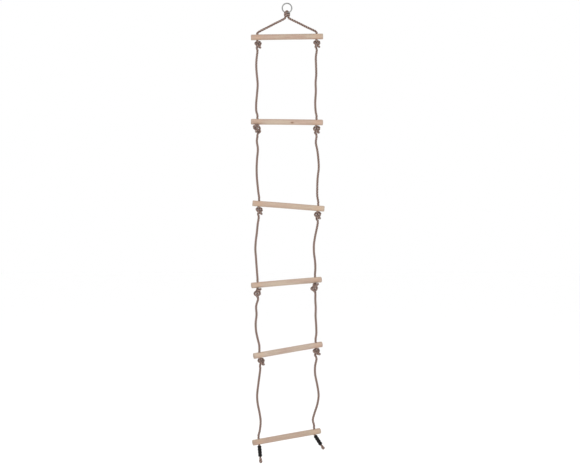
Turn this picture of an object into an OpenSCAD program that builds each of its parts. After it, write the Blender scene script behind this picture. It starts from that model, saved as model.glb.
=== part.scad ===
// A hanging rope ladder: a steel ring, a three-strand laid rope tied to it, two legs spread by the top rung,
// and six round wooden rungs held at their height by stopper knots in two side ropes.
// Millimetres, +Z up. The origin is where a hook bears on the inside of the ring, at its top.
// +X runs along the rungs to the right and +Y to the back.

/* [Hanging ring] */
// Thickness of the steel wire
ring_wire_d = 6; // [5:0.5:6.5]
// Inside diameter of the ring
ring_inside_d = 40; // [38:1:42]

/* [Rungs] */
// Diameter of each round rung
rung_d = 28; // [26:1:30]
// Length of each rung
rung_len = 350; // [340:2:370]
// Chamfer round each end of a rung
rung_chamfer = 2; // [1:0.5:3]
// Distance between the two rope holes of a rung
hole_spacing = 288; // [284:1:292]
// Diameter of the rope holes
hole_d = 12; // [11.6:0.1:13]

/* [Rope] */
// Diameter of the laid rope
rope_d = 11; // [10:0.5:11]
// Height of a stopper knot
knot_h = 38; // [36:1:40]
// Mean width of a stopper knot
knot_w = 34; // [30:1:36]
// Sides of the rope's tube
rope_sides = 10; // [8:1:12]

/* [Tails] */
// Length of the stop sleeve under each end of the lowest rung
sleeve_len = 52; // [46:1:56]
// Outside diameter of the stop sleeve over its ribs
sleeve_d = 20; // [18:0.5:21]
// Number of ribs on the stop sleeve
sleeve_ribs = 4; // [3:1:5]
// Diameter of the flared rope end
flare_d = 17; // [15:0.5:18]
// Length of rope below the sleeve on the left tail
left_end_len = 32; // [28:1:36]
// Length of rope below the sleeve on the right tail
right_end_len = 27; // [24:1:30]

/* [Clearance] */
// Gap between two rope solids where one swings against the other
swing_gap = 0.3; // [0.3:0.1:0.5]
// Height of the rope's bend above the top of a rung
bend_above = 7; // [7:0.5:9]

/* [Hidden] */

steel = [0.72, 0.72, 0.71];
wood = [0.86, 0.76, 0.64];
hemp = [0.50, 0.44, 0.40];
black = [0.10, 0.09, 0.09];

rope_r = rope_d / 2;
left = -1;
right = 1;
up = [0, 0, 1];

// Where each rung hangs: centre X, centre Z, right end raised by, right end turned back by, in degrees
rungs = [
    [0, -160, 1.2, 3],
    [0, -573, -0.2, 6],
    [7, -980, -4.4, 3],
    [-2, -1351, 4.3, 14],
    [5, -1679, 8.3, 17],
    [-1, -2099, 7.1, 20]
];

// Points along each side rope between the bend under one knot and the bend over the next rung
left_routes = [
    [[-147, -6, -262], [-149, -8, -300], [-146, -12, -345], [-142, -14, -390], [-145, -11, -435],
        [-149, -12, -480], [-149, -15, -518]],
    [[-146, -14, -668], [-141, -10, -705], [-145, -8, -750], [-147, -11, -795], [-146, -13, -840],
        [-142, -10, -885], [-138, -8, -920]],
    [[-142, -9, -1068], [-146, -14, -1110], [-151, -19, -1150], [-153, -22, -1190], [-150, -26, -1230],
        [-147, -31, -1270], [-144, -34, -1310]],
    [[-149, -37, -1465], [-147, -36, -1505], [-151, -38, -1545], [-149, -41, -1585], [-141, -43, -1622],
        [-134, -43, -1650]],
    [[-133, -45, -1800], [-139, -46, -1845], [-144, -44, -1895], [-141, -43, -1935], [-132, -45, -1980],
        [-127, -49, -2020], [-131, -50, -2062]]
];
right_routes = [
    [[140, 6, -258], [141, 9, -298], [142, 13, -340], [139, 14, -380], [140, 10, -425],
        [137, 12, -475], [139, 15, -518]],
    [[140, 15, -672], [147, 12, -708], [152, 8, -750], [154, 9, -795], [149, 13, -840],
        [147, 11, -885], [147, 8, -930]],
    [[145, 8, -1087], [137, 13, -1125], [131, 19, -1165], [131, 24, -1205], [136, 29, -1245],
        [138, 33, -1282]],
    [[138, 37, -1438], [140, 36, -1475], [139, 38, -1515], [142, 41, -1560], [143, 43, -1600]],
    [[137, 45, -1760], [137, 47, -1800], [147, 46, -1850], [154, 43, -1900], [148, 43, -1945],
        [134, 46, -1990], [126, 49, -2022]]
];

// Points along each leg of the bridle, from the ring's knot down to the bend over the top rung
left_leg = [[-6, 0, -68], [-30, -1, -81], [-60, -3, -96], [-90, -5, -112], [-116, -6, -125], [-134, -7, -135]];
right_leg = [[6, 0, -68], [30, 1, -80], [60, 3, -94], [90, 5, -109], [118, 6, -122], [135, 7, -130]];

// Rope that stands out of a hole or a knot before the bend
stub_len = bend_above - rope_r - swing_gap;
// Rope left straight next to each bend
straight_len = 12;
// Drop of the tail's bend below the lowest rung
tail_drop = 1.5;
// Depth of a sleeve's top below the tail's bend
sleeve_top = 4.5;
// Lean of each tail towards the right, in degrees
left_lean = 5;
right_lean = 33;

// Rope eye over the ring's wire: centre line radius and height of the wire's middle
ring_r = (ring_inside_d + ring_wire_d) / 2;
eye_r = ring_wire_d / 2 + rope_r + 0.5;
wire_z = -ring_inside_d - ring_wire_d / 2;

// A rung's own point, turned and moved to where the rung hangs
function on_rung(k, p) =
    let (rung = rungs[k - 1], lift = rung[2], turn = rung[3],
        a = p[0] * cos(lift) - p[2] * sin(lift))
    [a * cos(turn) - p[1] * sin(turn) + rung[0],
     a * sin(turn) + p[1] * cos(turn),
     p[0] * sin(lift) + p[2] * cos(lift) + rung[1]];

// Where the rope enters the top of a rung's hole and leaves the bottom of it
function hole_top(k, side) = on_rung(k, [side * hole_spacing / 2, 0, rung_d / 2]);
function hole_bottom(k, side) = on_rung(k, [side * hole_spacing / 2, 0, -rung_d / 2]);

// Where the rope bends above a rung, below a knot and below the lowest rung
function bend_over(k, side) = hole_top(k, side) + bend_above * up;
function bend_under(k, side) = hole_bottom(k, side) - (knot_h + bend_above + 1) * up;
function tail_bend(side) = hole_bottom(6, side) - tail_drop * up;

// A smooth curve through points, with two steps between one and the next
function curve_step(a, b, c, d, t) =
    0.5 * (2 * b + (c - a) * t + (2 * a - 5 * b + 4 * c - d) * t * t + (3 * b - a - 3 * c + d) * t * t * t);
function curve(p) =
    let (last = len(p) - 1)
    concat([for (i = [0 : last - 1], t = [0, 0.5])
        curve_step(p[max(i - 1, 0)], p[i], p[i + 1], p[min(i + 2, last)], t)], [p[last]]);

// Rings round a path: the direction of the path at a ring, and the ring's points
function unit(v) = v / norm(v);
function heading(p, i) = unit(p[min(i + 1, len(p) - 1)] - p[max(i - 1, 0)]);
function ring_points(centre, along, across, r) =
    let (u = unit(across - (across * along) * along), v = cross(along, u))
    [for (n = [0 : rope_sides - 1])
        centre + r * (cos(360 * n / rope_sides) * u + sin(360 * n / rope_sides) * v)];

// A closed tube along a path, with one radius for each of its points
module tube(path, radii, across) {
    last = len(path) - 1;
    points = [for (i = [0 : last]) each ring_points(path[i], heading(path, i), across, radii[i])];
    walls = [for (i = [0 : last - 1], n = [0 : rope_sides - 1])
        let (a = i * rope_sides + n, b = i * rope_sides + (n + 1) % rope_sides)
        each [[a, a + rope_sides, b], [b, a + rope_sides, b + rope_sides]]];
    start_cap = [for (n = [0 : rope_sides - 1]) n];
    end_cap = [for (n = [rope_sides - 1 : -1 : 0]) last * rope_sides + n];
    polyhedron(points = points, faces = concat(walls, [start_cap, end_cap]), convexity = 6);
}

// Shares of the rope's radius that round off a tube's end: how far past the end, and how wide there
round_off = [[0.94, 0.34], [0.64, 0.77]];

// Rope with a rounded end at each bend
module bending_rope(path, across) {
    last = len(path) - 1;
    back = unit(path[0] - path[1]);
    on = unit(path[last] - path[last - 1]);
    tube(
        concat([for (s = round_off) path[0] + s[0] * rope_r * back], path,
            [for (s = [round_off[1], round_off[0]]) path[last] + s[0] * rope_r * on]),
        concat([for (s = round_off) s[1] * rope_r], [for (p = path) rope_r],
            [for (s = [round_off[1], round_off[0]]) s[1] * rope_r]),
        across);
}

module hang_ring() {
    color(steel)
        translate([0, 0, -ring_inside_d / 2])
            rotate([90, 0, 0])
                rotate_extrude($fn = 96)
                    translate([ring_r, 0])
                        circle(d = ring_wire_d, $fn = 32);
}

// The rope's eye over the wire of the ring, and the half knot drawn up under it
module ring_knot() {
    eye_foot = [[0, -7, -58], [0, -eye_r, -51]];
    eye = concat(
        eye_foot,
        [for (a = [180 : -30 : 0]) [0, eye_r * cos(a), wire_z + eye_r * sin(a)]],
        [for (i = [1, 0]) [0, -eye_foot[i][1], eye_foot[i][2]]]);
    knot_z = [-51.3, -53, -56, -58.5, -59.8];
    knot_r = [8, 12.5, 13.5, 11.5, 6];
    color(hemp)
        union() {
            tube(eye, [for (p = eye) rope_r], [1, 0, 0]);
            tube([for (z = knot_z) [0, 0, z]], knot_r, [1, 0, 0]);
        }
}

module bridle_leg(points, side) {
    color(hemp)
        bending_rope(concat(curve(points), [bend_over(1, side)]), [0, 1, 0]);
}

module rung(k) {
    color(wood)
        translate([rungs[k - 1][0], 0, rungs[k - 1][1]])
            rotate([0, -rungs[k - 1][2], rungs[k - 1][3]])
                difference() {
                    rotate([0, 90, 0])
                        rotate_extrude($fn = 64)
                            polygon([
                                [0, -rung_len / 2],
                                [rung_d / 2 - rung_chamfer, -rung_len / 2],
                                [rung_d / 2, -rung_len / 2 + rung_chamfer],
                                [rung_d / 2, rung_len / 2 - rung_chamfer],
                                [rung_d / 2 - rung_chamfer, rung_len / 2],
                                [0, rung_len / 2]
                            ]);
                    for (side = [left, right])
                        translate([side * hole_spacing / 2, 0, -rung_d])
                            cylinder(d = hole_d, h = 2 * rung_d, $fn = 32);
                }
}

// Rope through a rung's hole, and the stopper knot that the rung rests on
module knot(k, side) {
    depth = [0.03, 0.1, 0.22, 0.38, 0.56, 0.74, 0.88, 1];
    width = [0.5, 0.84, 1.02, 1.08, 1.06, 0.94, 0.7, 0.36];
    top = hole_top(k, side);
    bottom = hole_bottom(k, side);
    path = concat(
        [top + stub_len * up, top, bottom, bottom - up],
        [for (d = depth) bottom - (1 + d * knot_h) * up],
        [bottom - (1 + knot_h + stub_len) * up]);
    radii = concat([for (i = [1 : 4]) rope_r], [for (w = width) w * knot_w / 2], [rope_r]);
    color(hemp)
        tube(path, radii, [1, 0, 0]);
}

// One side rope between two rungs
module side_rope(k, side, points) {
    start = bend_under(k, side);
    finish = bend_over(k + 1, side);
    color(hemp)
        bending_rope(
            concat([start], curve(concat([start - straight_len * up], points, [finish + straight_len * up])),
                [finish]),
            [1, 0, 0]);
}

// Rope through the lowest rung's hole, down to the tail's bend
module rung_6_rope(side) {
    top = hole_top(6, side);
    bend = tail_bend(side);
    color(hemp)
        tube([top + stub_len * up, top, bend + (rope_r + swing_gap) * unit(top - bend)],
            [rope_r, rope_r, rope_r], [1, 0, 0]);
}

// Turns a tail's own frame, with the rope hanging down Z, to where it hangs
module on_tail(side, lean) {
    translate(tail_bend(side))
        rotate([0, -lean, 0])
            children();
}

// The rope's end: it bends under the rung, runs through the sleeve and is flared below it
module tail_rope(side, lean, end_len) {
    neck_z = -sleeve_top - sleeve_len - 0.16 * end_len;
    tip_z = -sleeve_top - sleeve_len - end_len;
    flare_r = flare_d / 2;
    color(hemp)
        on_tail(side, lean)
            rotate_extrude($fn = 48)
                polygon(concat(
                    [for (a = [90 : -15 : 0]) [rope_r * cos(a), rope_r * sin(a)]],
                    [[rope_r, -sleeve_top - sleeve_len],
                        [0.86 * rope_r, neck_z],
                        [0.72 * flare_r, 0.72 * neck_z + 0.28 * tip_z],
                        [flare_r, 0.38 * neck_z + 0.62 * tip_z],
                        [0.94 * flare_r, 0.16 * neck_z + 0.84 * tip_z],
                        [0.6 * flare_r, tip_z],
                        [0, tip_z]]));
}

// The black ribbed sleeve that stops the lowest rung
module stop_sleeve(side, lean) {
    rib_depth = 0.8;
    edge = 1.5;
    steps = 6 * sleeve_ribs;
    outline = [for (i = [0 : steps])
        [sleeve_d / 2 - rib_depth / 2 * (1 + cos(360 * i / 6)),
         -sleeve_top - edge - (sleeve_len - 2 * edge) * i / steps]];
    color(black)
        on_tail(side, lean)
            rotate_extrude($fn = 48)
                polygon(concat(
                    [[rope_r, -sleeve_top], [sleeve_d / 2 - rib_depth - edge, -sleeve_top]],
                    outline,
                    [[sleeve_d / 2 - rib_depth - edge, -sleeve_top - sleeve_len],
                        [rope_r, -sleeve_top - sleeve_len]]));
}

hang_ring();
ring_knot();
bridle_leg(left_leg, left);  // bridle_leg_left
bridle_leg(right_leg, right);  // bridle_leg_right
for (k = [1 : 6]) {
    rung(k);
}
for (k = [1 : 5]) {
    knot(k, left);
    knot(k, right);
    side_rope(k, left, left_routes[k - 1]);
    side_rope(k, right, right_routes[k - 1]);
}
rung_6_rope(left);  // rung_6_rope_left
rung_6_rope(right);  // rung_6_rope_right
tail_rope(left, left_lean, left_end_len);  // tail_rope_left
tail_rope(right, right_lean, right_end_len);  // tail_rope_right
stop_sleeve(left, left_lean);  // stop_sleeve_left
stop_sleeve(right, right_lean);  // stop_sleeve_right
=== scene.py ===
import math

import bmesh
import bpy
import numpy as np
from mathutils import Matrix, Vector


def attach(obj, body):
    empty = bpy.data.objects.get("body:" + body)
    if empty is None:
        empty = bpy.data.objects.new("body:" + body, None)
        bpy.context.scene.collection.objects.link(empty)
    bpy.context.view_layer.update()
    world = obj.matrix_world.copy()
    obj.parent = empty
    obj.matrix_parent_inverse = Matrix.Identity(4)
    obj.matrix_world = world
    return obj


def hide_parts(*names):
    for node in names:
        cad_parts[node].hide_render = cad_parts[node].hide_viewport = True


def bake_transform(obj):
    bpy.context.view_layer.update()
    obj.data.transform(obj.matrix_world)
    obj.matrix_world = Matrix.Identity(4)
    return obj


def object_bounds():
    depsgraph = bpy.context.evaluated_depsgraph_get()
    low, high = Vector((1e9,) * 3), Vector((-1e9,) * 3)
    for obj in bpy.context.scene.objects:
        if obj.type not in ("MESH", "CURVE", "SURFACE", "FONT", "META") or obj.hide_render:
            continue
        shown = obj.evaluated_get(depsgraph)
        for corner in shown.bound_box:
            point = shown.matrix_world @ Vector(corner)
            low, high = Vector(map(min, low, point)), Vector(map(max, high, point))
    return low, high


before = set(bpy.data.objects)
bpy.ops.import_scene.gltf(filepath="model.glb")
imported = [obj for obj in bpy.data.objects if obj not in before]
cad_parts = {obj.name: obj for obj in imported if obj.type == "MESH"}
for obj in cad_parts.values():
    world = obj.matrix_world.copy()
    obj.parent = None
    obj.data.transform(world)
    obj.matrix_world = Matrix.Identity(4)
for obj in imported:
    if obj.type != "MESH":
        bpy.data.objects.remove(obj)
cad_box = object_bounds()


# Camera: a long lens straight in front of the ladder and level with its middle, far enough
# back that the ladder is seen square on from its ring to its tails.
CAMERA_AT = (0.0145, -7.814, -1.106)


def into_scene(name, data):
    """A new object of that name, put into the scene."""
    placed = bpy.data.objects.new(name, data)
    bpy.context.scene.collection.objects.link(placed)
    return placed


lens = bpy.data.cameras.new("camera")
lens.lens = 100
lens.sensor_width = 36
camera = into_scene("camera", lens)
camera.location = CAMERA_AT
camera.rotation_euler = (math.radians(90), 0, 0)
bpy.context.scene.camera = camera
bpy.context.scene.view_settings.view_transform = "Standard"


# Studio: an even white room, a broad soft light from the upper left front and a weaker
# one from the right, over a plain pale floor that the ladder hangs just clear of.
FLOOR_BELOW = 0.078
FLOOR_RADIUS = 40.0
foot_of_ladder = cad_box[0].z
room = bpy.data.worlds.new("room")
room.use_nodes = True
room.node_tree.nodes["Background"].inputs["Color"].default_value = (1, 1, 1, 1)
room.node_tree.nodes["Background"].inputs["Strength"].default_value = 1.0
bpy.context.scene.world = room

floor_edge = [(FLOOR_RADIUS * math.cos(math.radians(a)), FLOOR_RADIUS * math.sin(math.radians(a)),
               foot_of_ladder - FLOOR_BELOW) for a in range(0, 360, 6)]
floor_mesh = bpy.data.meshes.new("floor")
floor_mesh.from_pydata(floor_edge, [], [list(range(len(floor_edge)))])
floor = into_scene("floor", floor_mesh)
floor_paint = bpy.data.materials.new("pale floor")
floor_paint.use_nodes = True
floor_shader = floor_paint.node_tree.nodes["Principled BSDF"]
floor_shader.inputs["Base Color"].default_value = (1.0, 1.0, 1.0, 1)
floor_shader.inputs["Roughness"].default_value = 0.9
floor_shader.inputs["Specular IOR Level"].default_value = 0.1
floor_mesh.materials.append(floor_paint)

for light_name, place, power, size in (
        ("key", (-3.2, -5.5, 1.6), 110, 2.6),
        ("fill", (4.0, -4.5, -0.6), 25, 2.4)):
    lamp = bpy.data.lights.new(light_name, "AREA")
    lamp.energy = power
    lamp.size = size
    softbox = into_scene(light_name, lamp)
    softbox.location = place
    aim = np.array([0, 0, 0.5 * foot_of_ladder]) - np.array(place)
    softbox.rotation_euler = (math.acos(-aim[2] / np.linalg.norm(aim)), 0,
                              math.atan2(aim[0], -aim[1]) + math.pi)


# The rope's route: one rope runs from the left tail up through every rung to the ring and
# down through every rung again to the right tail. A stopper knot under each rung but the
# lowest holds the rung at its height.
ROPE_D = 0.011
RUNG_D = 0.028
HOLE_SPACING = 0.288
KNOT_H = 0.038
BEND_OFF = 0.007  # how far off a rung or a knot the rope bends
KNOT_TO_BEND = KNOT_H + BEND_OFF + 0.001
STRAIGHT = 0.012  # how far the rope runs straight past a bend
TAIL_DROP = 0.0015
SLEEVE_TOP = 0.0045
SLEEVE_LEN = 0.052
LEFT, RIGHT = -1, 1
TAIL_LEAN = {LEFT: 5, RIGHT: 33}  # degrees off plumb, both to the right
TAIL_END = {LEFT: 0.032, RIGHT: 0.027}  # rope below the sleeve
UP = np.array([0.0, 0.0, 1.0])

# Where each rung hangs: centre X, centre Z, right end raised by, right end turned back by
RUNGS = [(0, -0.160, 1.2, 3), (0, -0.573, -0.2, 6), (0.007, -0.980, -4.4, 3),
         (-0.002, -1.351, 4.3, 14), (0.005, -1.679, 8.3, 17), (-0.001, -2.099, 7.1, 20)]

# Points along each side rope between the bend under one knot and the bend over the next rung
ROUTES = {
    LEFT: [
        [(-0.147, -0.006, -0.262), (-0.149, -0.008, -0.300), (-0.146, -0.012, -0.345),
         (-0.142, -0.014, -0.390), (-0.145, -0.011, -0.435), (-0.149, -0.012, -0.480),
         (-0.149, -0.015, -0.518)],
        [(-0.146, -0.014, -0.668), (-0.141, -0.010, -0.705), (-0.145, -0.008, -0.750),
         (-0.147, -0.011, -0.795), (-0.146, -0.013, -0.840), (-0.142, -0.010, -0.885),
         (-0.138, -0.008, -0.920)],
        [(-0.142, -0.009, -1.068), (-0.146, -0.014, -1.110), (-0.151, -0.019, -1.150),
         (-0.153, -0.022, -1.190), (-0.150, -0.026, -1.230), (-0.147, -0.031, -1.270),
         (-0.144, -0.034, -1.310)],
        [(-0.149, -0.037, -1.465), (-0.147, -0.036, -1.505), (-0.151, -0.038, -1.545),
         (-0.149, -0.041, -1.585), (-0.141, -0.043, -1.622), (-0.134, -0.043, -1.650)],
        [(-0.133, -0.045, -1.800), (-0.139, -0.046, -1.845), (-0.144, -0.044, -1.895),
         (-0.141, -0.043, -1.935), (-0.132, -0.045, -1.980), (-0.127, -0.049, -2.020),
         (-0.131, -0.050, -2.062)]],
    RIGHT: [
        [(0.140, 0.006, -0.258), (0.141, 0.009, -0.298), (0.142, 0.013, -0.340),
         (0.139, 0.014, -0.380), (0.140, 0.010, -0.425), (0.137, 0.012, -0.475),
         (0.139, 0.015, -0.518)],
        [(0.140, 0.015, -0.672), (0.147, 0.012, -0.708), (0.152, 0.008, -0.750),
         (0.154, 0.009, -0.795), (0.149, 0.013, -0.840), (0.147, 0.011, -0.885),
         (0.147, 0.008, -0.930)],
        [(0.145, 0.008, -1.087), (0.137, 0.013, -1.125), (0.131, 0.019, -1.165),
         (0.131, 0.024, -1.205), (0.136, 0.029, -1.245), (0.138, 0.033, -1.282)],
        [(0.138, 0.037, -1.438), (0.140, 0.036, -1.475), (0.139, 0.038, -1.515),
         (0.142, 0.041, -1.560), (0.143, 0.043, -1.600)],
        [(0.137, 0.045, -1.760), (0.137, 0.047, -1.800), (0.147, 0.046, -1.850),
         (0.154, 0.043, -1.900), (0.148, 0.043, -1.945), (0.134, 0.046, -1.990),
         (0.126, 0.049, -2.022)]]}

# Points along each leg of the bridle, from the ring's knot down to the top rung
LEGS = {
    LEFT: [(-0.014, -0.0003, -0.0723), (-0.030, -0.001, -0.081), (-0.060, -0.003, -0.096),
           (-0.090, -0.005, -0.112), (-0.116, -0.006, -0.125), (-0.134, -0.007, -0.135)],
    RIGHT: [(0.014, 0.0003, -0.0720), (0.030, 0.001, -0.080), (0.060, 0.003, -0.094),
            (0.090, 0.005, -0.109), (0.118, 0.006, -0.122), (0.135, 0.007, -0.130)]}


def on_rung(k, x, y, z):
    """A rung's own point, tilted and turned to where the rung hangs."""
    place_x, place_z, lift, turn = RUNGS[k - 1]
    lift, turn = math.radians(lift), math.radians(turn)
    along = x * math.cos(lift) - z * math.sin(lift)
    return np.array([along * math.cos(turn) - y * math.sin(turn) + place_x,
                     along * math.sin(turn) + y * math.cos(turn),
                     x * math.sin(lift) + z * math.cos(lift) + place_z])


def hole_top(k, side):
    return on_rung(k, side * HOLE_SPACING / 2, 0, RUNG_D / 2)


def hole_middle(k, side):
    return on_rung(k, side * HOLE_SPACING / 2, 0, 0)


def hole_bottom(k, side):
    return on_rung(k, side * HOLE_SPACING / 2, 0, -RUNG_D / 2)


def bend_over(k, side):
    return hole_top(k, side) + BEND_OFF * UP


def bend_under(k, side):
    return hole_bottom(k, side) - KNOT_TO_BEND * UP


def tail_bend(side):
    return hole_bottom(6, side) - TAIL_DROP * UP


def tail_way(side):
    lean = math.radians(TAIL_LEAN[side])
    return np.array([math.sin(lean), 0, -math.cos(lean)])


def smooth_through(points):
    """A smooth curve through given points, eight steps from one to the next."""
    p = np.array(points, float)
    p = np.vstack([p[0], p, p[-1]])
    t = np.linspace(0, 1, 8, endpoint=False)[:, None]
    spans = [0.5 * (2 * b + (c - a) * t + (2 * a - 5 * b + 4 * c - d) * t ** 2
                    + (3 * b - a - 3 * c + d) * t ** 3)
             for a, b, c, d in zip(p, p[1:], p[2:], p[3:])]
    return np.vstack(spans + [p[-1:]])


def evenly(points, count):
    """The same line with evenly spaced points."""
    p = np.array(points, float)
    along = np.r_[0, np.cumsum(np.linalg.norm(np.diff(p, axis=0), axis=1))]
    stops = np.linspace(0, along[-1], count)
    return np.stack([np.interp(stops, along, p[:, i]) for i in range(3)], 1)


# Drawing up a knot: rope nearer along itself than FREE thicknesses may touch, PULL of the rounds
# shorten it while the rest only settle it, and EASE of each kink or overlap goes in one round
FREE, PULL, EASE = 1.4, 0.7, 0.22


def draw_up(loose, ends, leads, length, thickness, plates=None, wire=None, rounds=800):
    """A loosely laid knot pulled tight: the rope shortens to length while its ends move to
    ends, it keeps off itself, and it stays between two plates or off the ring's wire."""
    p = np.array(loose, float)
    count = len(p)
    begin = p[[0, -1]].copy()
    long = np.linalg.norm(np.diff(p, axis=0), axis=1).sum()
    a, b = np.triu_indices(count, int(math.ceil(FREE * thickness / (length / (count - 1)))))
    for turn in range(rounds):
        share = min(1.0, turn / (PULL * rounds))
        step = (long + (length - long) * share) / (count - 1)
        held = begin + (np.array(ends) - begin) * share
        for first in (0, 1, 0, 1):
            i = np.arange(first, count - 1, 2)
            gap = p[i + 1] - p[i]
            move = 0.5 * gap * (1 - step / np.linalg.norm(gap, axis=1)[:, None])
            p[i] += move
            p[i + 1] -= move
        p[1:-1] += EASE * (0.5 * (p[:-2] + p[2:]) - p[1:-1])
        for again in (0, 1):
            gap = p[b] - p[a]
            far = np.linalg.norm(gap, axis=1)
            near = far < thickness
            push = (EASE * (thickness - far[near]) / far[near])[:, None] * gap[near]
            np.add.at(p, a[near], -push)
            np.add.at(p, b[near], push)
        if plates:
            p[4:, 2] = np.minimum(p[4:, 2], held[0][2] - plates[0])
            p[:-4, 2] = np.maximum(p[:-4, 2], held[1][2] + plates[1])
        if wire is not None:
            gap = p[:, None] - wire[None]
            far = np.linalg.norm(gap, axis=2)
            reach = 0.5 * thickness + RING_WIRE_D / 2
            nearest = far.argmin(axis=1)
            rows = np.arange(count)
            short = np.maximum(0, reach - far[rows, nearest]) / far[rows, nearest]
            p += short[:, None] * gap[rows, nearest]
        for k in range(3):
            p[k] = held[0] + k * step * np.array(leads[0])
            p[-1 - k] = held[1] + k * step * np.array(leads[1])
    return p


# Stopper knots: overhand knots in the rope itself, each pulled up by hand under its rung. How
# each came out: its turn about the rope, how much rope is in it, how far it spreads sideways,
# how far to one side of the hole it sits, and how much shorter it is than the others
STOPPERS = {
    (1, LEFT): (135, 0.104, 1.22, -0.006, 0), (1, RIGHT): (130, 0.106, 1.26, -0.008, 0),
    (2, LEFT): (318, 0.130, 1.30, 0.014, 0), (2, RIGHT): (142, 0.110, 1.24, -0.011, 0),
    (3, LEFT): (132, 0.098, 1.22, -0.005, 0), (3, RIGHT): (150, 0.100, 1.16, -0.012, 0),
    (4, LEFT): (222, 0.098, 1.24, -0.012, 0), (4, RIGHT): (232, 0.110, 1.32, -0.014, 0),
    (5, LEFT): (128, 0.100, 1.24, -0.002, 0.002), (5, RIGHT): (140, 0.102, 1.24, -0.009, 0.004)}
STOPPER_POINTS = 84


def stopper_knot(k, side):
    """An overhand knot drawn up between the underside of its rung and the bend below it."""
    turned, taken_up, spread, shift, short = STOPPERS[k, side]
    height = KNOT_TO_BEND
    wide, apart = 0.007, 0.036
    off_wood, off_bend = 0.0058, 0.0110
    t = np.linspace(2.15, -2.15, 60)
    loop = np.stack([t ** 4 - 4 * t ** 2, 0.45 * (t ** 5 / 5 - 2 * t), t ** 3 - 3 * t], 1) * wide
    loose = evenly(np.vstack([apart * UP, loop, -apart * UP]), STOPPER_POINTS)
    tied = draw_up(loose, [height / 2 * UP, -height / 2 * UP], [-UP, UP], height + taken_up,
                   ROPE_D, plates=(off_wood, off_bend + short))
    angle = math.radians(turned)
    x, y = tied[:, 0].copy() * spread, tied[:, 1].copy() * spread
    tied[:, 0] = x * math.cos(angle) + y * math.sin(angle)
    tied[:, 1] = -x * math.sin(angle) + y * math.cos(angle)
    tied[:, 2] -= height / 2
    tied[:, 0] += shift * np.sin(math.pi * np.clip(-tied[:, 2] / height, 0, 1))
    lift = math.tan(math.radians(RUNGS[k - 1][2]))
    tied[:, 2] += lift * tied[:, 0] * np.clip(1 + tied[:, 2] / height, 0, 1)
    return tied + hole_bottom(k, side)


# The knot at the ring: the middle of the same rope passes over the wire, and its two legs are
# crossed, tucked once round each other under it and pulled down hard, so it comes out slim
RING_WIRE_D = 0.006
RING_INSIDE_D = 0.040
RING_KNOT_ROPE = 0.140
RING_KNOT_POINTS = 110
PRESSED, SQUEEZED = 0.84, 0.80  # rope thickness while tightened, and width kept after it
TUCK_R, TUCK_HALF, TUCK_Z = 0.0055, 0.013, -0.055
wire_turn = np.radians(np.arange(0, 360, 6))
wire_round = (RING_INSIDE_D + RING_WIRE_D) / 2
wire_line = np.stack([wire_round * np.sin(wire_turn), 0 * wire_turn,
                      -RING_INSIDE_D / 2 - wire_round * np.cos(wire_turn)], 1)
tuck = np.linspace(0, 3 * math.pi, 24)
across = -TUCK_HALF + 2 * TUCK_HALF * tuck / tuck[-1]
first_leg = np.stack([TUCK_R * np.sin(tuck), across, TUCK_Z - TUCK_R * np.cos(tuck)], 1)
second_leg = np.stack([-TUCK_R * np.sin(tuck), across, TUCK_Z + TUCK_R * np.cos(tuck)], 1)
over_wire = np.array([(0, 0.017, -0.048), (0, 0.013, -0.037), (0, 0.007, -0.029), (0, 0, -0.027),
                      (0, -0.007, -0.029), (0, -0.013, -0.037), (0, -0.017, -0.048)])
leg_top = {side: np.array(LEGS[side][0]) for side in (LEFT, RIGHT)}
leg_way = {side: (leg_top[side] - LEGS[side][1]) / np.linalg.norm(leg_top[side] - LEGS[side][1])
           for side in (LEFT, RIGHT)}
loose_ring_knot = evenly(np.vstack([leg_top[LEFT], first_leg, over_wire, second_leg, leg_top[RIGHT]]),
                         RING_KNOT_POINTS)
ring_knot_line = draw_up(loose_ring_knot, [leg_top[LEFT], leg_top[RIGHT]],
                         [leg_way[LEFT], leg_way[RIGHT]], RING_KNOT_ROPE, PRESSED * ROPE_D,
                         wire=wire_line)
ring_knot_line[:, 0] *= np.interp(np.arange(RING_KNOT_POINTS),
                                  [0, 12, RING_KNOT_POINTS - 13, RING_KNOT_POINTS - 1],
                                  [1, SQUEEZED, SQUEEZED, 1])


def down_one_side(side):
    """The rope's route from the ring's knot down one side of the ladder to its end."""
    route = [smooth_through(LEGS[side] + [tuple(bend_over(1, side))])]
    for k in range(1, 7):
        route += [[hole_top(k, side)], [hole_middle(k, side)]]
        if k < 6:
            under, over = bend_under(k, side), bend_over(k + 1, side)
            route += [stopper_knot(k, side),
                      smooth_through([under, under - STRAIGHT * UP] + ROUTES[side][k - 1]
                                     + [over + STRAIGHT * UP, over])]
    length = SLEEVE_TOP + SLEEVE_LEN + TAIL_END[side]
    route += [[hole_bottom(6, side)], [tail_bend(side)], [tail_bend(side) + length * tail_way(side)]]
    return np.vstack(route)


ROPE_STEP, FINE_STEP = 0.0014, 0.001
ROPE_EASED = 10
whole = np.vstack([down_one_side(LEFT)[::-1], ring_knot_line[1:-1], down_one_side(RIGHT)])
whole_length = np.linalg.norm(np.diff(whole, axis=0), axis=1).sum()
whole = evenly(whole, int(whole_length / FINE_STEP))
for smoothing in range(ROPE_EASED):
    whole[1:-1] += 0.5 * (0.5 * (whole[:-2] + whole[2:]) - whole[1:-1])
line = evenly(whole, int(whole_length / ROPE_STEP))
ahead = np.gradient(line, axis=0)
ahead /= np.linalg.norm(ahead, axis=1)[:, None]
sideways = np.zeros_like(line)
sideways[0] = np.cross(ahead[0], [0, 1, 0])
for i in range(len(line)):
    carried = sideways[i - 1] if i else sideways[0]
    carried = carried - carried.dot(ahead[i]) * ahead[i]
    sideways[i] = carried / np.linalg.norm(carried)
other_way = np.cross(ahead, sideways)
travelled = np.r_[0, np.cumsum(np.linalg.norm(np.diff(line, axis=0), axis=1))]


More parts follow.
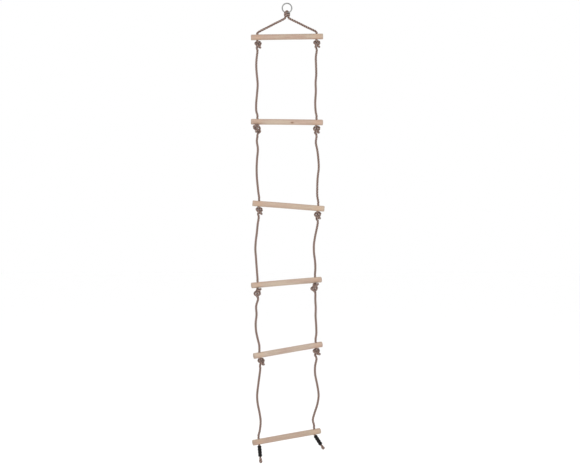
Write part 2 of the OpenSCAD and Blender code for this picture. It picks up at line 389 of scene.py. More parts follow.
def station(point):
    """The rope's station nearest to a point."""
    return int(np.linalg.norm(line - np.array(point), axis=1).argmin())


# The laid rope itself: three strands twisted to the right round each other, each of six
# yarns twisted the other way, in a soft grey-brown fibre with a light fuzz. Both of its ends
# are melted shut and left flared.
LAY = 0.037
YARNS = 6
STRAND_OFF = 0.50 * ROPE_D / 2
STRAND_R = 0.53 * ROPE_D / 2
STRAND_FLAT = 1.10
YARN_RIDGE = 0.11
STRAND_ANGLES = np.r_[np.linspace(-2.3, 2.3, 25), 2.75, math.pi, -2.75]
MELTED = 0.007
FUZZ_PER_METRE = 900
FUZZ_THICK = 0.00011
FUZZ_OFF_TIP, FUZZ_OFF_TAIL_BEND = 0.009, 0.013


def strand_width(i):
    """How wide the rope is at each station: its full size, drawn in and then flared at an end."""
    width = np.ones(len(i))
    for side, tip in ((LEFT, 0), (RIGHT, len(line) - 1)):
        from_tip = np.abs(travelled[i] - travelled[tip])
        end = TAIL_END[side]
        width = np.where(from_tip < end, np.interp(
            from_tip / end,
            [0, 0.03, 0.10, 0.16, 0.38, 0.72, 0.84, 1.0],
            [0.30, 0.66, 1.15, 1.40, 1.50, 1.08, 0.86, 1.0]), width)
    return width


def fuzz(rng, first, last, base):
    """Loose fibres standing off the rope between two stations, their points numbered from base."""
    count = int(FUZZ_PER_METRE * (travelled[last] - travelled[first]))
    at = rng.integers(first + 1, max(first + 2, last - 1), count)
    at = at[np.minimum(travelled[at], travelled[-1] - travelled[at]) > FUZZ_OFF_TIP]
    for side in (LEFT, RIGHT):
        at = at[np.abs(travelled[at] - travelled[station(tail_bend(side))]) > FUZZ_OFF_TAIL_BEND]
    count = len(at)
    strand = rng.integers(0, 3, count)
    angle = rng.uniform(-1.5, 1.5, count)
    turn = 2 * math.pi * (travelled[at] / LAY + strand / 3)
    out = np.cos(turn)[:, None] * sideways[at] + np.sin(turn)[:, None] * other_way[at]
    round_ = np.cross(ahead[at], out)
    normal = np.cos(angle)[:, None] * out + np.sin(angle)[:, None] * round_
    root = line[at] + STRAND_OFF * out + STRAND_R * 0.97 * normal
    sweep = rng.normal(0, 1, (count, 3)) * 0.35 + ahead[at] * rng.choice([-1, 1], count)[:, None]
    sweep -= (sweep * normal).sum(1)[:, None] * normal
    long = rng.uniform(0.002, 0.007, count)[:, None]
    rise = rng.uniform(0.0004, 0.0020, count)[:, None] / np.maximum(1, strand_width(at)[:, None]) ** 3
    across_hair = np.cross(sweep, normal)
    across_hair /= np.linalg.norm(across_hair, axis=1)[:, None]
    corners = []
    for s in np.linspace(0, 1, 4):
        centre = root + sweep * long * s + normal * rise * math.sin(2.2 * s)
        thick = FUZZ_THICK * (1 - 0.75 * s)
        for corner in range(3):
            a = 2 * math.pi * corner / 3
            corners.append(centre + thick * (math.cos(a) * across_hair + math.sin(a) * normal))
    corners = np.stack(corners, 1)
    h = np.arange(count) * 12 + base
    faces = []
    for ring in range(3):
        for corner in range(3):
            c2 = (corner + 1) % 3
            faces += np.stack([h + ring * 3 + corner, h + ring * 3 + c2,
                               h + ring * 3 + 3 + c2, h + ring * 3 + 3 + corner], 1).tolist()
    faces += np.stack([h + 9, h + 10, h + 11], 1).tolist()
    lay = np.stack([angle / (2 * math.pi), travelled[at] / LAY, strand + 0.5], 1)
    return (corners.reshape(-1, 3), faces, np.repeat(lay, 12, axis=0),
            np.tile([0.0, 0.0, 1.0], (count * 12, 1)))


def laid_rope(name, first, last, seed):
    """A length of the rope between two stations, as a mesh with its lay kept on each point."""
    rng = np.random.default_rng(seed)
    i = np.arange(first, last + 1)
    width = strand_width(i)
    tip_near = np.minimum(travelled[i], travelled[-1] - travelled[i])
    melted = np.clip(1 - tip_near / MELTED, 0, 1)
    points, faces, lay, state = [], [], [], []
    rows, sides = len(i), len(STRAND_ANGLES)
    for strand in range(3):
        turn = 2 * math.pi * (travelled[i] / LAY + strand / 3)
        out = np.cos(turn)[:, None] * sideways[i] + np.sin(turn)[:, None] * other_way[i]
        round_ = np.cross(ahead[i], out)
        yarn = STRAND_ANGLES[None, :] / (2 * math.pi) + 2 * travelled[i][:, None] / LAY
        ridge = np.abs(np.cos(math.pi * YARNS * yarn)) - 0.64
        swell = (1 + YARN_RIDGE * ridge) * width[:, None]
        high = STRAND_OFF * width[:, None] + STRAND_R * swell * np.cos(STRAND_ANGLES)[None, :]
        wide = STRAND_FLAT * STRAND_R * swell * np.sin(STRAND_ANGLES)[None, :]
        body = line[i][:, None] + high[..., None] * out[:, None] + wide[..., None] * round_[:, None]
        base = sum(len(q) for q in points)
        points.append(body.reshape(-1, 3))
        r, c = np.meshgrid(np.arange(rows - 1), np.arange(sides), indexing="ij")
        c2 = (c + 1) % sides
        quads = np.stack([r * sides + c, r * sides + c2, (r + 1) * sides + c2, (r + 1) * sides + c], -1)
        faces += (quads.reshape(-1, 4) + base).tolist()
        faces.append([base + k for k in range(sides)][::-1])
        faces.append([base + (rows - 1) * sides + k for k in range(sides)])
        from_axis = np.hypot(high, wide) / (ROPE_D / 2 * width[:, None])
        lay.append(np.stack([np.broadcast_to(STRAND_ANGLES / (2 * math.pi), from_axis.shape),
                             np.broadcast_to((travelled[i] / LAY)[:, None], from_axis.shape),
                             np.full(from_axis.shape, strand + 0.5)], -1).reshape(-1, 3))
        # The first value is how deep a point lies between the strands; the hemp material darkens it there
        # as painted shade with some dirt.
        state.append(np.stack([np.clip((0.99 - from_axis) / 0.33, 0, 1),
                               np.broadcast_to(melted[:, None], from_axis.shape),
                               np.zeros(from_axis.shape)], -1).reshape(-1, 3))
    loose = fuzz(rng, first, last, sum(len(q) for q in points))
    points.append(loose[0])
    faces += loose[1]
    lay.append(loose[2])
    state.append(loose[3])
    mesh = bpy.data.meshes.new(name)
    mesh.from_pydata(np.vstack(points), [], faces)
    for kept, values in (("Lay", lay), ("State", state)):
        held = mesh.attributes.new(kept, "FLOAT_VECTOR", "POINT")
        held.data.foreach_set("vector", np.vstack(values).astype(np.float32).ravel())
    mesh.polygons.foreach_set("use_smooth", [True] * len(mesh.polygons))
    mesh.update()
    rope = into_scene(name, mesh)
    mesh.materials.append(hemp)
    return rope


class Nodes:
    """Short calls for laying out one material's nodes."""

    def __init__(self, name):
        self.material = bpy.data.materials.new(name)
        self.material.use_nodes = True
        self.tree = self.material.node_tree
        self.shader = self.tree.nodes["Principled BSDF"]

    def put(self, kind, **settings):
        node = self.tree.nodes.new("ShaderNode" + kind)
        for key, value in settings.items():
            setattr(node, key, value)
        return node

    def join(self, out, into):
        self.tree.links.new(out, into)

    def feed(self, node, **inputs):
        for key, value in inputs.items():
            socket = node.inputs[int(key[1:])] if key[0] == "_" else node.inputs[key.replace("_", " ")]
            if isinstance(value, bpy.types.NodeSocket):
                self.join(value, socket)
            else:
                socket.default_value = value
        return node

    def sum(self, operation, a, b=0.0, c=0.0, clamp=False):
        node = self.put("Math", operation=operation, use_clamp=clamp)
        return self.feed(node, _0=a, _1=b, _2=c).outputs[0]

    def noise(self, where, scale, detail=2.0, rough=0.5):
        node = self.feed(self.put("TexNoise"), Vector=where, Scale=scale, Detail=detail, Roughness=rough)
        return node.outputs["Fac"]

    def vector(self, x, y, z):
        return self.feed(self.put("CombineXYZ"), _0=x, _1=y, _2=z).outputs[0]

    def parts(self, vector):
        return self.feed(self.put("SeparateXYZ"), _0=vector).outputs

    def blend(self, share, a, b, mode="MIX"):
        node = self.put("Mix", data_type="RGBA", blend_type=mode)
        self.feed(node, _0=share, _6=a, _7=b)
        return node.outputs[2]

    def between(self, value, low, high, to_low=0.0, to_high=1.0):
        return self.feed(self.put("MapRange"), Value=value, From_Min=low, From_Max=high,
                         To_Min=to_low, To_Max=to_high).outputs[0]

    def bumps(self, height, distance, strength=1.0, under=None):
        node = self.feed(self.put("Bump"), Height=height, Distance=distance, Strength=strength)
        if under is not None:
            self.join(under, node.inputs["Normal"])
        return node.outputs[0]


# Hemp tones: two patches of the weathered rope, its bright, dark and loose fibres, darker yarns,
# the lit crown and shaded flank of a strand, painted shade in the gaps between yarns and, with
# some dirt, between strands, and the melted ends
HEMP_PATCHES = (0.234, 0.137, 0.107, 1), (0.274, 0.187, 0.155, 1)
HEMP_BRIGHT = (0.479, 0.327, 0.272, 1)
HEMP_DARK = (0.112, 0.057, 0.043, 1)
HEMP_LOOSE = (0.479, 0.351, 0.296, 1)
HEMP_DARK_YARN = (0.120, 0.064, 0.050, 1)
HEMP_YARN_GAP_SHADE = (0.085, 0.044, 0.033, 1)
HEMP_CROWN = (0.46, 0.350, 0.295, 1)
HEMP_FLANK = (0.050, 0.028, 0.022, 1)
HEMP_STRAND_GAP_SHADE_AND_DIRT = (0.025, 0.010, 0.008, 1)
HEMP_MELTED = (0.114, 0.063, 0.048, 1)

hemp_nodes = Nodes("hemp rope")
hemp = hemp_nodes.material
n = hemp_nodes
lay_u, lay_v, lay_strand = n.parts(n.put("Attribute", attribute_name="Lay").outputs["Vector"])
deep, melt, loose_fibre = n.parts(n.put("Attribute", attribute_name="State").outputs["Vector"])
round_strand = n.sum("MULTIPLY_ADD", lay_v, 2.0, lay_u)
yarn_number = n.sum("FLOOR", n.sum("MULTIPLY_ADD", round_strand, YARNS, 0.5))
fibre_place = n.vector(n.sum("MULTIPLY", round_strand, 16.0), n.sum("MULTIPLY", lay_v, LAY * 160),
                       n.sum("MULTIPLY", lay_strand, 7.3))
fibres = n.noise(fibre_place, 3.2, 5.0, 0.62)
coarse_fibres = n.noise(fibre_place, 1.1, 2.0, 0.5)
patch_place = n.vector(n.sum("MULTIPLY", lay_strand, 3.1), n.sum("MULTIPLY", lay_v, 0.9), 0.0)
patches = n.noise(patch_place, 1.0, 3.0, 0.6)
yarn_shade = n.put("TexWhiteNoise", noise_dimensions="2D")
n.feed(yarn_shade, _0=n.vector(yarn_number, lay_strand, 0.0))
base = n.blend(n.between(patches, 0.36, 0.64), *HEMP_PATCHES)
base = n.blend(n.between(fibres, 0.30, 0.72, 0.0, 0.55), base, HEMP_BRIGHT)
base = n.blend(n.between(coarse_fibres, 0.56, 0.78, 0.0, 0.5), base, HEMP_DARK)
base = n.blend(n.sum("MULTIPLY", yarn_shade.outputs["Value"], 0.45), base, HEMP_DARK_YARN)
# Painted shade in the narrow gaps between yarns.
in_yarn = n.sum("FRACT", n.sum("MULTIPLY", round_strand, YARNS))
from_gap = n.sum("ABSOLUTE", n.sum("SUBTRACT", in_yarn, 0.5))
base = n.blend(n.between(from_gap, 0.12, 0.0, 0.0, 0.55), base, HEMP_YARN_GAP_SHADE)
from_crown = n.sum("ABSOLUTE", lay_u)
base = n.blend(n.between(from_crown, 0.03, 0.17, 0.34, 0.0), base, HEMP_CROWN)
base = n.blend(n.between(from_crown, 0.13, 0.28, 0.0, 0.70), base, HEMP_FLANK)
# Painted shade with some dirt, darkest deep in the gaps between strands.
base = n.blend(n.sum("MULTIPLY", deep, 0.95), base, HEMP_STRAND_GAP_SHADE_AND_DIRT)
base = n.blend(n.sum("MULTIPLY", loose_fibre, 0.45), base, HEMP_LOOSE)
base = n.blend(n.sum("MULTIPLY", melt, 0.55), base, HEMP_MELTED)
n.feed(n.shader, Base_Color=base, Roughness=n.between(melt, 0.0, 1.0, 0.86, 0.42))
n.shader.inputs["Sheen Weight"].default_value = 0.25
n.shader.inputs["Sheen Roughness"].default_value = 0.5
n.shader.inputs["Specular IOR Level"].default_value = 0.3
n.join(n.bumps(fibres, 0.0006, 0.8, n.bumps(coarse_fibres, 0.0008, 0.6)), n.shader.inputs["Normal"])


def rope_by_side(side, first, last):
    """Stations in order along the whole rope, given from the ring down on one side."""
    return (last, first) if side == LEFT else (first, last)


SIDE_NAME = {LEFT: "left", RIGHT: "right"}
KNOT_PAST = 0.006  # how far above the bend under it a knot's piece ends
TAIL_FLEX = 0.005  # how far above its bend the lowest side rope ends and the tail begins
seed = 0
tails = {}
for side in (LEFT, RIGHT):
    where = SIDE_NAME[side]
    # The bridle's leg, in two lengths that meet half way: one bends at the ring's knot, the other
    # where it turns down into the top rung
    out_of_knot = station(leg_top[side])
    leg_middle = station(LEGS[side][3])
    leg = laid_rope(f"bridle_leg_{where}_upper", *rope_by_side(side, out_of_knot, leg_middle),
                    seed := seed + 1)
    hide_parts(f"bridle_leg_{where}")
    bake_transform(leg)
    in_top_rung = station(hole_middle(1, side))
    leg = laid_rope(f"bridle_leg_{where}_lower", *rope_by_side(side, leg_middle, in_top_rung),
                    seed := seed + 1)
    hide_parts(f"bridle_leg_{where}")
    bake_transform(leg)
    for k in range(1, 7):
        # The side rope down to this rung, bending where it enters the hole. The last one runs
        # on through the lowest rung to the tail.
        if k > 1:
            bay_middle = station(ROUTES[side][k - 2][3])
            foot = station(hole_middle(k, side) if k < 6 else tail_bend(side) + TAIL_FLEX * UP)
            low = laid_rope(f"side_rope_{k - 1}_{where}_lower", *rope_by_side(side, bay_middle, foot),
                            seed := seed + 1)
            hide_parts(f"side_rope_{k - 1}_{where}", *([f"rung_6_rope_{where}"] if k == 6 else []))
            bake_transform(low)
        # The knot under this rung, and the side rope from it down to the middle of the bay
        if k < 6:
            in_rung = station(hole_middle(k, side))
            knot_foot = station(bend_under(k, side) + KNOT_PAST * UP)
            tied = laid_rope(f"knot_{k}_{where}_tied", *rope_by_side(side, in_rung, knot_foot),
                             seed := seed + 1)
            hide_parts(f"knot_{k}_{where}")
            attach(tied, f"step_{k}")
            bay_middle = station(ROUTES[side][k - 1][3])
            high = laid_rope(f"side_rope_{k}_{where}_upper", *rope_by_side(side, knot_foot, bay_middle),
                             seed := seed + 1)
            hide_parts(f"side_rope_{k}_{where}")
            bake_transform(high)
    # The tail from the lowest rung to its flared tip, with every third station along it kept
    tip = 0 if side == LEFT else len(line) - 1
    tail = laid_rope(f"tail_rope_{where}_flared", *rope_by_side(side, foot, tip), seed := seed + 1)
    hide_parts(f"tail_rope_{where}")
    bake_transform(tail)
    tails[side] = tail, line[[*range(foot, tip, 3 * side), tip]]

ring_knot = laid_rope("ring_knot_tied", station(leg_top[LEFT]), station(leg_top[RIGHT]), 99)
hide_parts("ring_knot")
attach(ring_knot, "eye")


# Rungs: round dowels turned from pale softwood, cut to one length with eased ends, and drilled
# near each end for the rope. Sanded but not varnished, and a little soiled round the holes.
RUNG_LEN = 0.350
HOLE_D = 0.012
EASED = 0.0021  # the round on each end's edge
UNDERSIZE = 0.00012  # sanded off all over

# Each rung's pale and dark wood, where its heart lies (its slope along the rung, then forwards
# and down from the middle), how many growth rings come to a metre, and its number for the noises
RUNG_LOOKS = {
    1: dict(tone=(0.430, 0.326, 0.255, 1), dark=(0.296, 0.201, 0.145, 1),
            pith=(0.2, 0.034, 0.006), pace=330, seed=1.3),
    2: dict(tone=(0.475, 0.370, 0.296, 1), dark=(0.335, 0.234, 0.175, 1),
            pith=(0.1, 0.050, 0.021), pace=300, seed=4.1),
    3: dict(tone=(0.468, 0.355, 0.272, 1), dark=(0.333, 0.225, 0.159, 1),
            pith=(-0.15, 0.028, -0.020), pace=360, seed=8.8),
    4: dict(tone=(0.468, 0.368, 0.294, 1), dark=(0.325, 0.232, 0.177, 1),
            pith=(0.3, 0.040, 0.014), pace=320, seed=12.4),
    5: dict(tone=(0.450, 0.350, 0.290, 1), dark=(0.317, 0.221, 0.173, 1),
            pith=(-0.2, 0.045, -0.012), pace=340, seed=17.0),
    6: dict(tone=(0.416, 0.314, 0.244, 1), dark=(0.292, 0.195, 0.139, 1),
            pith=(0.15, 0.030, 0.016), pace=310, seed=21.7)}
BRANCH_RUNG = 2
BRANCH_AT = (0.024, -0.0138, -0.0032)
PALE_STREAK, DARK_STREAK = (0.58, 0.47, 0.38, 1), (0.300, 0.195, 0.145, 1)
WARM_BAND, YELLOW_BAND = (0.43, 0.275, 0.215, 1), (0.55, 0.47, 0.34, 1)
FLECK = (0.24, 0.155, 0.105, 1)
RUBBED = (0.52, 0.33, 0.21, 1)
END_GRAIN, OPEN_PORE = (0.335, 0.255, 0.190, 1), (0.20, 0.14, 0.10, 1)
BRANCH_HALO, BRANCH_HEART = (0.30, 0.155, 0.085, 1), (0.115, 0.055, 0.032, 1)


def tube_faces(rings, turns):
    """Four-sided faces between rings of points that each have that many turns."""
    return [[i * turns + j, i * turns + (j + 1) % turns, (i + 1) * turns + (j + 1) % turns,
             (i + 1) * turns + j] for i in range(rings - 1) for j in range(turns)]


def dowel_mesh(name, seed):
    """A turned dowel along X with eased ends, very slightly out of round and out of straight."""
    rng = np.random.default_rng(seed)
    half, r = RUNG_LEN / 2, RUNG_D / 2
    eased = [(half, 0.0), (half, 0.30 * r), (half, 0.60 * r), (half, r - 1.25 * EASED),
             (half - 0.06 * EASED, r - 0.90 * EASED), (half - 0.30 * EASED, r - 0.42 * EASED),
             (half - 0.72 * EASED, r - 0.08 * EASED), (half - 1.3 * EASED, r)]
    middle = [(x, r) for x in np.linspace(half - 0.006, -half + 0.006, 66)]
    profile = eased + middle + [(-x, q) for x, q in eased[::-1]]
    turns = 72
    angle = np.arange(turns) * 2 * math.pi / turns
    phase = rng.uniform(0, 6.28, 6)
    points = []
    for x, q in profile[1:-1]:
        worn = (0.00010 * np.sin(2 * angle + phase[0] + 9 * x)
                + 0.00005 * np.sin(5 * angle + phase[1] - 31 * x)
                + 0.00005 * np.sin(3 * angle + phase[2] + 60 * x))
        at_end = np.clip((abs(x) - half + 0.004) / 0.004, 0, 1)
        chipped = 0.00022 * at_end * np.sin(9 * angle + phase[3]) * np.sin(4 * angle + phase[4])
        rr = q + (worn + chipped) * (q / r) - UNDERSIZE
        bow = 0.0004 * (1 - (x / half) ** 2)
        on_face = (abs(x) > half - 1e-6) * (q < r - EASED)
        saw = 0.00012 * np.sin(300 * rr * np.cos(angle) + phase[5]) * on_face
        points += [(x - math.copysign(1, x) * (UNDERSIZE + s), w * math.sin(a), w * math.cos(a) + bow)
                   for a, w, s in zip(angle, rr, saw)]
    rings = len(profile) - 2
    faces = tube_faces(rings, turns)
    points += [(half - 0.0001, 0, 0), (-half + 0.0001, 0, 0)]
    last = (rings - 1) * turns
    faces += [[len(points) - 2, (j + 1) % turns, j] for j in range(turns)]
    faces += [[len(points) - 1, last + j, last + (j + 1) % turns] for j in range(turns)]
    mesh = bpy.data.meshes.new(name)
    mesh.from_pydata(points, [], faces)
    mesh.update()
    return mesh


def drill_mesh(name, side):
    """The drill's shape with the hole's two rims eased to follow the round of the dowel."""
    turns = 40
    angle = np.arange(turns) * 2 * math.pi / turns
    rows = []
    for end in (-1, 1):
        steps = [(None, HOLE_D / 2), (-0.0010, HOLE_D / 2), (-0.0004, HOLE_D / 2 + 0.00018),
                 (0.0001, HOLE_D / 2 + 0.0006), (0.004, HOLE_D / 2 + 0.0045)]
        steps = steps if end > 0 else steps[:0:-1]
        for past, q in steps:
            surface = np.sqrt((RUNG_D / 2) ** 2 - (np.minimum(q, 0.0068) * np.sin(angle)) ** 2)
            height = 0 * angle if past is None else end * (surface + past)
            rows.append(np.stack([q * np.cos(angle) + side * HOLE_SPACING / 2, q * np.sin(angle),
                                  height + 0.0002], 1))
    faces = tube_faces(len(rows), turns)
    faces += [list(range(turns))[::-1], [(len(rows) - 1) * turns + j for j in range(turns)]]
    mesh = bpy.data.meshes.new(name)
    mesh.from_pydata(np.vstack(rows).tolist(), [], faces)
    mesh.update()
    return mesh


def softwood(k):
    """Pale softwood for one rung, with its growth rings running along the rung."""
    look = RUNG_LOOKS[k]
    seed = look["seed"]
    n = Nodes(f"softwood rung {k}")
    place_x, place_z, lift, turn = RUNGS[k - 1]
    own = n.put("Mapping", vector_type="TEXTURE")
    n.feed(own, Vector=n.put("TexCoord").outputs["Object"])
    own.inputs["Location"].default_value = (place_x, 0, place_z)
    own.inputs["Rotation"].default_value = (0, -math.radians(lift), math.radians(turn))
    own = own.outputs[0]
    x, y, z = n.parts(own)

    def along_grain(lengthwise, crosswise, shift, detail, rough):
        """Noise drawn out along the rung."""
        where = n.vector(n.sum("MULTIPLY_ADD", x, lengthwise, shift), n.sum("MULTIPLY", y, crosswise),
                         n.sum("MULTIPLY", z, crosswise))
        return n.noise(where, 1.0, detail, rough)

    # Growth rings, counted out from the heart, which wanders and slopes a little
    drift = n.sum("MULTIPLY", n.sum("SUBTRACT", along_grain(5.0, 20.0, seed, 2.0, 0.5), 0.5), 0.011)
    slope = n.sum("MULTIPLY", x, look["pith"][0] * 0.05)
    off_y = n.sum("ADD", n.sum("ADD", y, look["pith"][1]), drift)
    off_z = n.sum("ADD", n.sum("ADD", z, look["pith"][2]), slope)
    if k == BRANCH_RUNG:
        dx, dy, dz = [n.sum("SUBTRACT", c, at) for c, at in zip((x, y, z), BRANCH_AT)]
        near = n.vector(n.sum("MULTIPLY", dx, 0.62), dy, dz)
        branch = n.feed(n.put("VectorMath", operation="LENGTH"), _0=near).outputs["Value"]
        swirl = n.sum("MULTIPLY", n.sum("POWER", 2.718, n.sum("MULTIPLY", branch, -190.0)), 0.0042)
        off_z = n.sum("ADD", off_z, swirl)
    from_heart = n.put("VectorMath", operation="LENGTH")
    out = n.feed(from_heart, _0=n.vector(0.0, off_y, off_z)).outputs["Value"]
    year = n.sum("FRACT", n.sum("ADD", n.sum("MULTIPLY", out, look["pace"]), seed))
    late = n.sum("MULTIPLY", n.between(year, 0.45, 0.93), n.between(year, 1.0, 0.955))

    # Streaks, bands and flecks along the grain
    streaks = along_grain(9.0, 900.0, seed, 4.0, 0.6)
    flecks = along_grain(55.0, 1900.0, seed, 2.0, 0.5)
    bands = along_grain(7.0, 45.0, seed * 3, 2.0, 0.5)
    base = n.blend(n.sum("MULTIPLY", late, 0.75), look["tone"], look["dark"])
    base = n.blend(n.between(streaks, 0.42, 0.72, 0.0, 0.38), base, PALE_STREAK)
    base = n.blend(n.between(streaks, 0.46, 0.26, 0.0, 0.42), base, DARK_STREAK)
    base = n.blend(n.between(bands, 0.40, 0.60, 0.0, 0.42), base, WARM_BAND)
    base = n.blend(n.between(bands, 0.52, 0.36, 0.0, 0.22), base, YELLOW_BAND)
    base = n.blend(n.between(flecks, 0.58, 0.72, 0.0, 0.55), base, FLECK)

    # Soiled round the holes, and open pores on the sawn ends
    along = n.sum("ABSOLUTE", x)
    from_hole = n.sum("ABSOLUTE", n.sum("SUBTRACT", along, HOLE_SPACING / 2))
    soil = n.noise(own, 120.0, 3.0, 0.6)
    rubbed = n.sum("MULTIPLY", n.between(from_hole, 0.030, 0.006), n.between(soil, 0.35, 0.65, 0.35, 1.0))
    base = n.blend(n.sum("MULTIPLY", rubbed, 0.40), base, RUBBED)
    face = n.between(along, RUNG_LEN / 2 - 0.0030, RUNG_LEN / 2 - 0.0004)
    pore_place = n.vector(0.0, n.sum("MULTIPLY", y, 1500.0), n.sum("MULTIPLY", z, 1500.0))
    pores = n.noise(pore_place, 1.0, 3.0, 0.6)
    open_pores = n.sum("MULTIPLY", face, n.between(pores, 0.45, 0.7))
    base = n.blend(n.sum("MULTIPLY", face, 0.50), base, END_GRAIN)
    base = n.blend(n.sum("MULTIPLY", open_pores, 0.5), base, OPEN_PORE)
    if k == BRANCH_RUNG:
        ringed = n.between(n.sum("FRACT", n.sum("MULTIPLY", branch, 620.0)), 0.3, 0.9, 0.35, 0.8)
        heart = n.sum("MULTIPLY", n.between(branch, 0.0036, 0.0026), ringed)
        base = n.blend(n.between(branch, 0.0075, 0.0030, 0.0, 0.62), base, BRANCH_HALO)
        base = n.blend(heart, base, BRANCH_HEART)
    rough = n.sum("ADD", n.between(streaks, 0.2, 0.8, 0.52, 0.66), n.sum("MULTIPLY", face, 0.15))
    n.feed(n.shader, Base_Color=base, Roughness=rough)
    n.shader.inputs["Specular IOR Level"].default_value = 0.35
    grain = n.bumps(streaks, 0.00022, 0.7)
    grain = n.bumps(late, 0.00012, 0.8, grain)
    n.join(n.bumps(n.sum("MULTIPLY", pores, face), 0.00025, 0.8, grain), n.shader.inputs["Normal"])
    return n.material


for k in range(1, 7):
    rung = into_scene(f"rung_{k}_dowel", dowel_mesh(f"rung_{k}_dowel", 40 + k))
    drills = [into_scene("drill", drill_mesh("drill", side)) for side in (LEFT, RIGHT)]
    for drill in drills:
        cut = rung.modifiers.new("hole", "BOOLEAN")
        cut.operation, cut.solver, cut.object = "DIFFERENCE", "EXACT", drill
    bpy.context.view_layer.update()
    drilled = bpy.data.meshes.new_from_object(rung.evaluated_get(bpy.context.evaluated_depsgraph_get()))
    rung.modifiers.clear()
    rung.data = drilled
    for drill in drills:
        bpy.data.objects.remove(drill)
    place = np.array([on_rung(k, *v.co) for v in drilled.vertices])
    drilled.vertices.foreach_set("co", place.astype(np.float32).ravel())
    drilled.polygons.foreach_set("use_smooth", [True] * len(drilled.polygons))
    drilled.set_sharp_from_angle(angle=math.radians(40))
    drilled.materials.clear()
    drilled.materials.append(softwood(k))
    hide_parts(f"rung_{k}")
    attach(rung, f"step_{k}")


# Stop sleeves: short black plastic sleeves with round ribs, shrunk on the rope under the lowest
# rung, that keep the rung from sliding off. Their upper ends are domed, and the ribs are a
# little lumpy where the strands show through.
SLEEVE_D = 0.0200
SLEEVE_RIBS, RIB_DEEP = 4, 0.0017
SLEEVE_DOME = 0.0024  # how far its domed end reaches up past SLEEVE_TOP
SLEEVE_MOUTH_R = 0.0054
DOME_EDGE, FOOT_EDGE = 0.0038, 0.0016  # how much narrower the two ends are
BLACK, SCUFFED_BLACK = (0.0045, 0.0035, 0.0035, 1), (0.012, 0.010, 0.0095, 1)
n = Nodes("black shrunk plastic")
black_plastic = n.material
where_on = n.put("TexCoord").outputs["Object"]
scuffs = n.noise(where_on, 420.0, 5.0, 0.65)
smears = n.noise(where_on, 90.0, 3.0, 0.6)
fine = n.noise(where_on, 2600.0, 2.0, 0.5)
tone = n.blend(n.between(scuffs, 0.55, 0.75, 0.0, 0.6), BLACK, SCUFFED_BLACK)
n.feed(n.shader, Base_Color=tone, Roughness=n.between(smears, 0.3, 0.7, 0.19, 0.30))
n.shader.inputs["Specular IOR Level"].default_value = 0.14
n.join(n.bumps(fine, 0.00006, 0.5, n.bumps(scuffs, 0.00025, 0.5)), n.shader.inputs["Normal"])
for side in (LEFT, RIGHT):
    where = SIDE_NAME[side]
    rng = np.random.default_rng(70 + side)
    down = tail_way(side)
    over = np.cross(down, [0, 1, 0])
    back = np.cross(down, over)
    turns, steps = 64, 132
    angle = np.arange(turns) * 2 * math.pi / turns
    phase = rng.uniform(0, 6.28, 5)
    rows = [(SLEEVE_TOP - SLEEVE_DOME + 0.0004, np.full(turns, SLEEVE_MOUTH_R))]
    for i in range(steps + 1):
        t = i / steps
        rib = 0.5 - 0.5 * math.cos(2 * math.pi * SLEEVE_RIBS * t)
        edge = min(1, t / 0.10, (1 - t) / 0.03)
        q = SLEEVE_D / 2 - RIB_DEEP * (1 - rib ** 0.75)
        q = q - (DOME_EDGE if t < 0.5 else FOOT_EDGE) * (1 - math.sqrt(edge))
        lumps = (0.00016 * np.sin(3 * angle + 2 * math.pi * t * SLEEVE_LEN / LAY * 3 + phase[0])
                 + 0.00008 * np.sin(2 * angle + 11 * t + phase[1])
                 + 0.00005 * np.sin(7 * angle - 23 * t + phase[2]))
        rows.append((SLEEVE_TOP - SLEEVE_DOME + (SLEEVE_LEN + SLEEVE_DOME) * t, q + lumps * edge))
    rows.append((SLEEVE_TOP + SLEEVE_LEN - 0.0004, np.full(turns, SLEEVE_MOUTH_R)))
    points = np.vstack([tail_bend(side) + z * down + (q * np.cos(angle))[:, None] * over
                        + (q * np.sin(angle))[:, None] * back for z, q in rows])
    count = len(rows)
    faces = [[i % count * turns + j, i % count * turns + (j + 1) % turns,
              (i + 1) % count * turns + (j + 1) % turns, (i + 1) % count * turns + j]
             for i in range(count) for j in range(turns)]
    mesh = bpy.data.meshes.new(f"stop_sleeve_{where}_ribbed")
    mesh.from_pydata(points.tolist(), [], faces)
    mesh.polygons.foreach_set("use_smooth", [True] * len(mesh.polygons))
    mesh.update()
    outward = bmesh.new()
    outward.from_mesh(mesh)
    bmesh.ops.recalc_face_normals(outward, faces=outward.faces)
    outward.to_mesh(mesh)
    outward.free()
    mesh.materials.append(black_plastic)
    sleeve = into_scene(mesh.name, mesh)
    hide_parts(f"stop_sleeve_{where}")
    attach(sleeve, f"tail_{where}")
    # The tail, with the sleeve on it, leaves the rung TAIL_FLEX above its bend; its mesh and stations go
    # unused
    tail, middle_of_tail = tails[side]


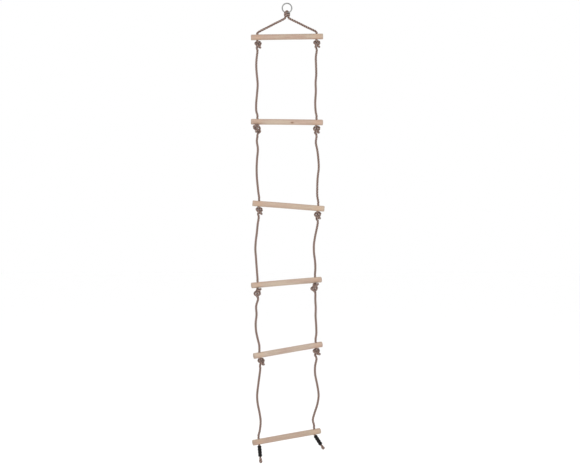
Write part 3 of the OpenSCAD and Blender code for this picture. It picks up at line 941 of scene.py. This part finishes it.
# Hanging ring: round steel wire bent to a ring and butt-welded on its right side, zinc
# plated, with the weld left as a small collar and the plating dulled by handling.
BRIGHT_PLATE, DULL_PLATE = (0.31, 0.312, 0.305, 1), (0.22, 0.222, 0.215, 1)
PLATE_SPOT = (0.20, 0.195, 0.185, 1)
WELD_AT = math.radians(100)
COLLAR_HIGH, COLLAR_WIDE = 0.00055, 0.075
LIP_HIGH, LIP_OFF, LIP_WIDE = 0.00018, 0.16, 0.03
n = Nodes("dull plated steel")
plated_steel = n.material
where_on = n.put("TexCoord").outputs["Object"]
cloud = n.noise(where_on, 160.0, 4.0, 0.6)
spots = n.noise(where_on, 900.0, 3.0, 0.6)
x, y, z = n.parts(where_on)
drawn_place = n.vector(n.sum("MULTIPLY", x, 300.0), n.sum("MULTIPLY", y, 2600.0),
                       n.sum("MULTIPLY", z, 300.0))
drawn = n.noise(drawn_place, 1.0, 3.0, 0.6)
tone = n.blend(n.between(cloud, 0.35, 0.65), BRIGHT_PLATE, DULL_PLATE)
tone = n.blend(n.between(spots, 0.58, 0.72, 0.0, 0.5), tone, PLATE_SPOT)
n.feed(n.shader, Base_Color=tone, Roughness=n.between(cloud, 0.3, 0.7, 0.30, 0.48))
n.shader.inputs["Metallic"].default_value = 0.85
n.join(n.bumps(spots, 0.0001, 0.5, n.bumps(drawn, 0.00008, 0.5)), n.shader.inputs["Normal"])
turns, around = 160, 28
points = []
for i in range(turns):
    a = 2 * math.pi * i / turns
    from_weld = (a - WELD_AT + math.pi) % (2 * math.pi) - math.pi
    collar = COLLAR_HIGH * math.exp(-(from_weld / COLLAR_WIDE) ** 2)
    collar = collar + LIP_HIGH * math.exp(-((abs(from_weld) - LIP_OFF) / LIP_WIDE) ** 2)
    for j in range(around):
        b = 2 * math.pi * j / around
        q = RING_WIRE_D / 2 - 0.00002 + collar * (1 + 0.25 * math.sin(3 * b + 9 * a))
        q = q + 0.00002 * math.sin(5 * b + 3 * a)
        out = wire_round + q * math.cos(b)
        points.append((out * math.sin(a), q * math.sin(b), -RING_INSIDE_D / 2 + out * math.cos(a)))
faces = [[i * around + j, i * around + (j + 1) % around, (i + 1) % turns * around + (j + 1) % around,
          (i + 1) % turns * around + j] for i in range(turns) for j in range(around)]
mesh = bpy.data.meshes.new("hang_ring_welded")
mesh.from_pydata(points, [], faces)
mesh.polygons.foreach_set("use_smooth", [True] * len(mesh.polygons))
mesh.update()
mesh.materials.append(plated_steel)
ring = into_scene("hang_ring_welded", mesh)
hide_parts("hang_ring")
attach(ring, "ring")
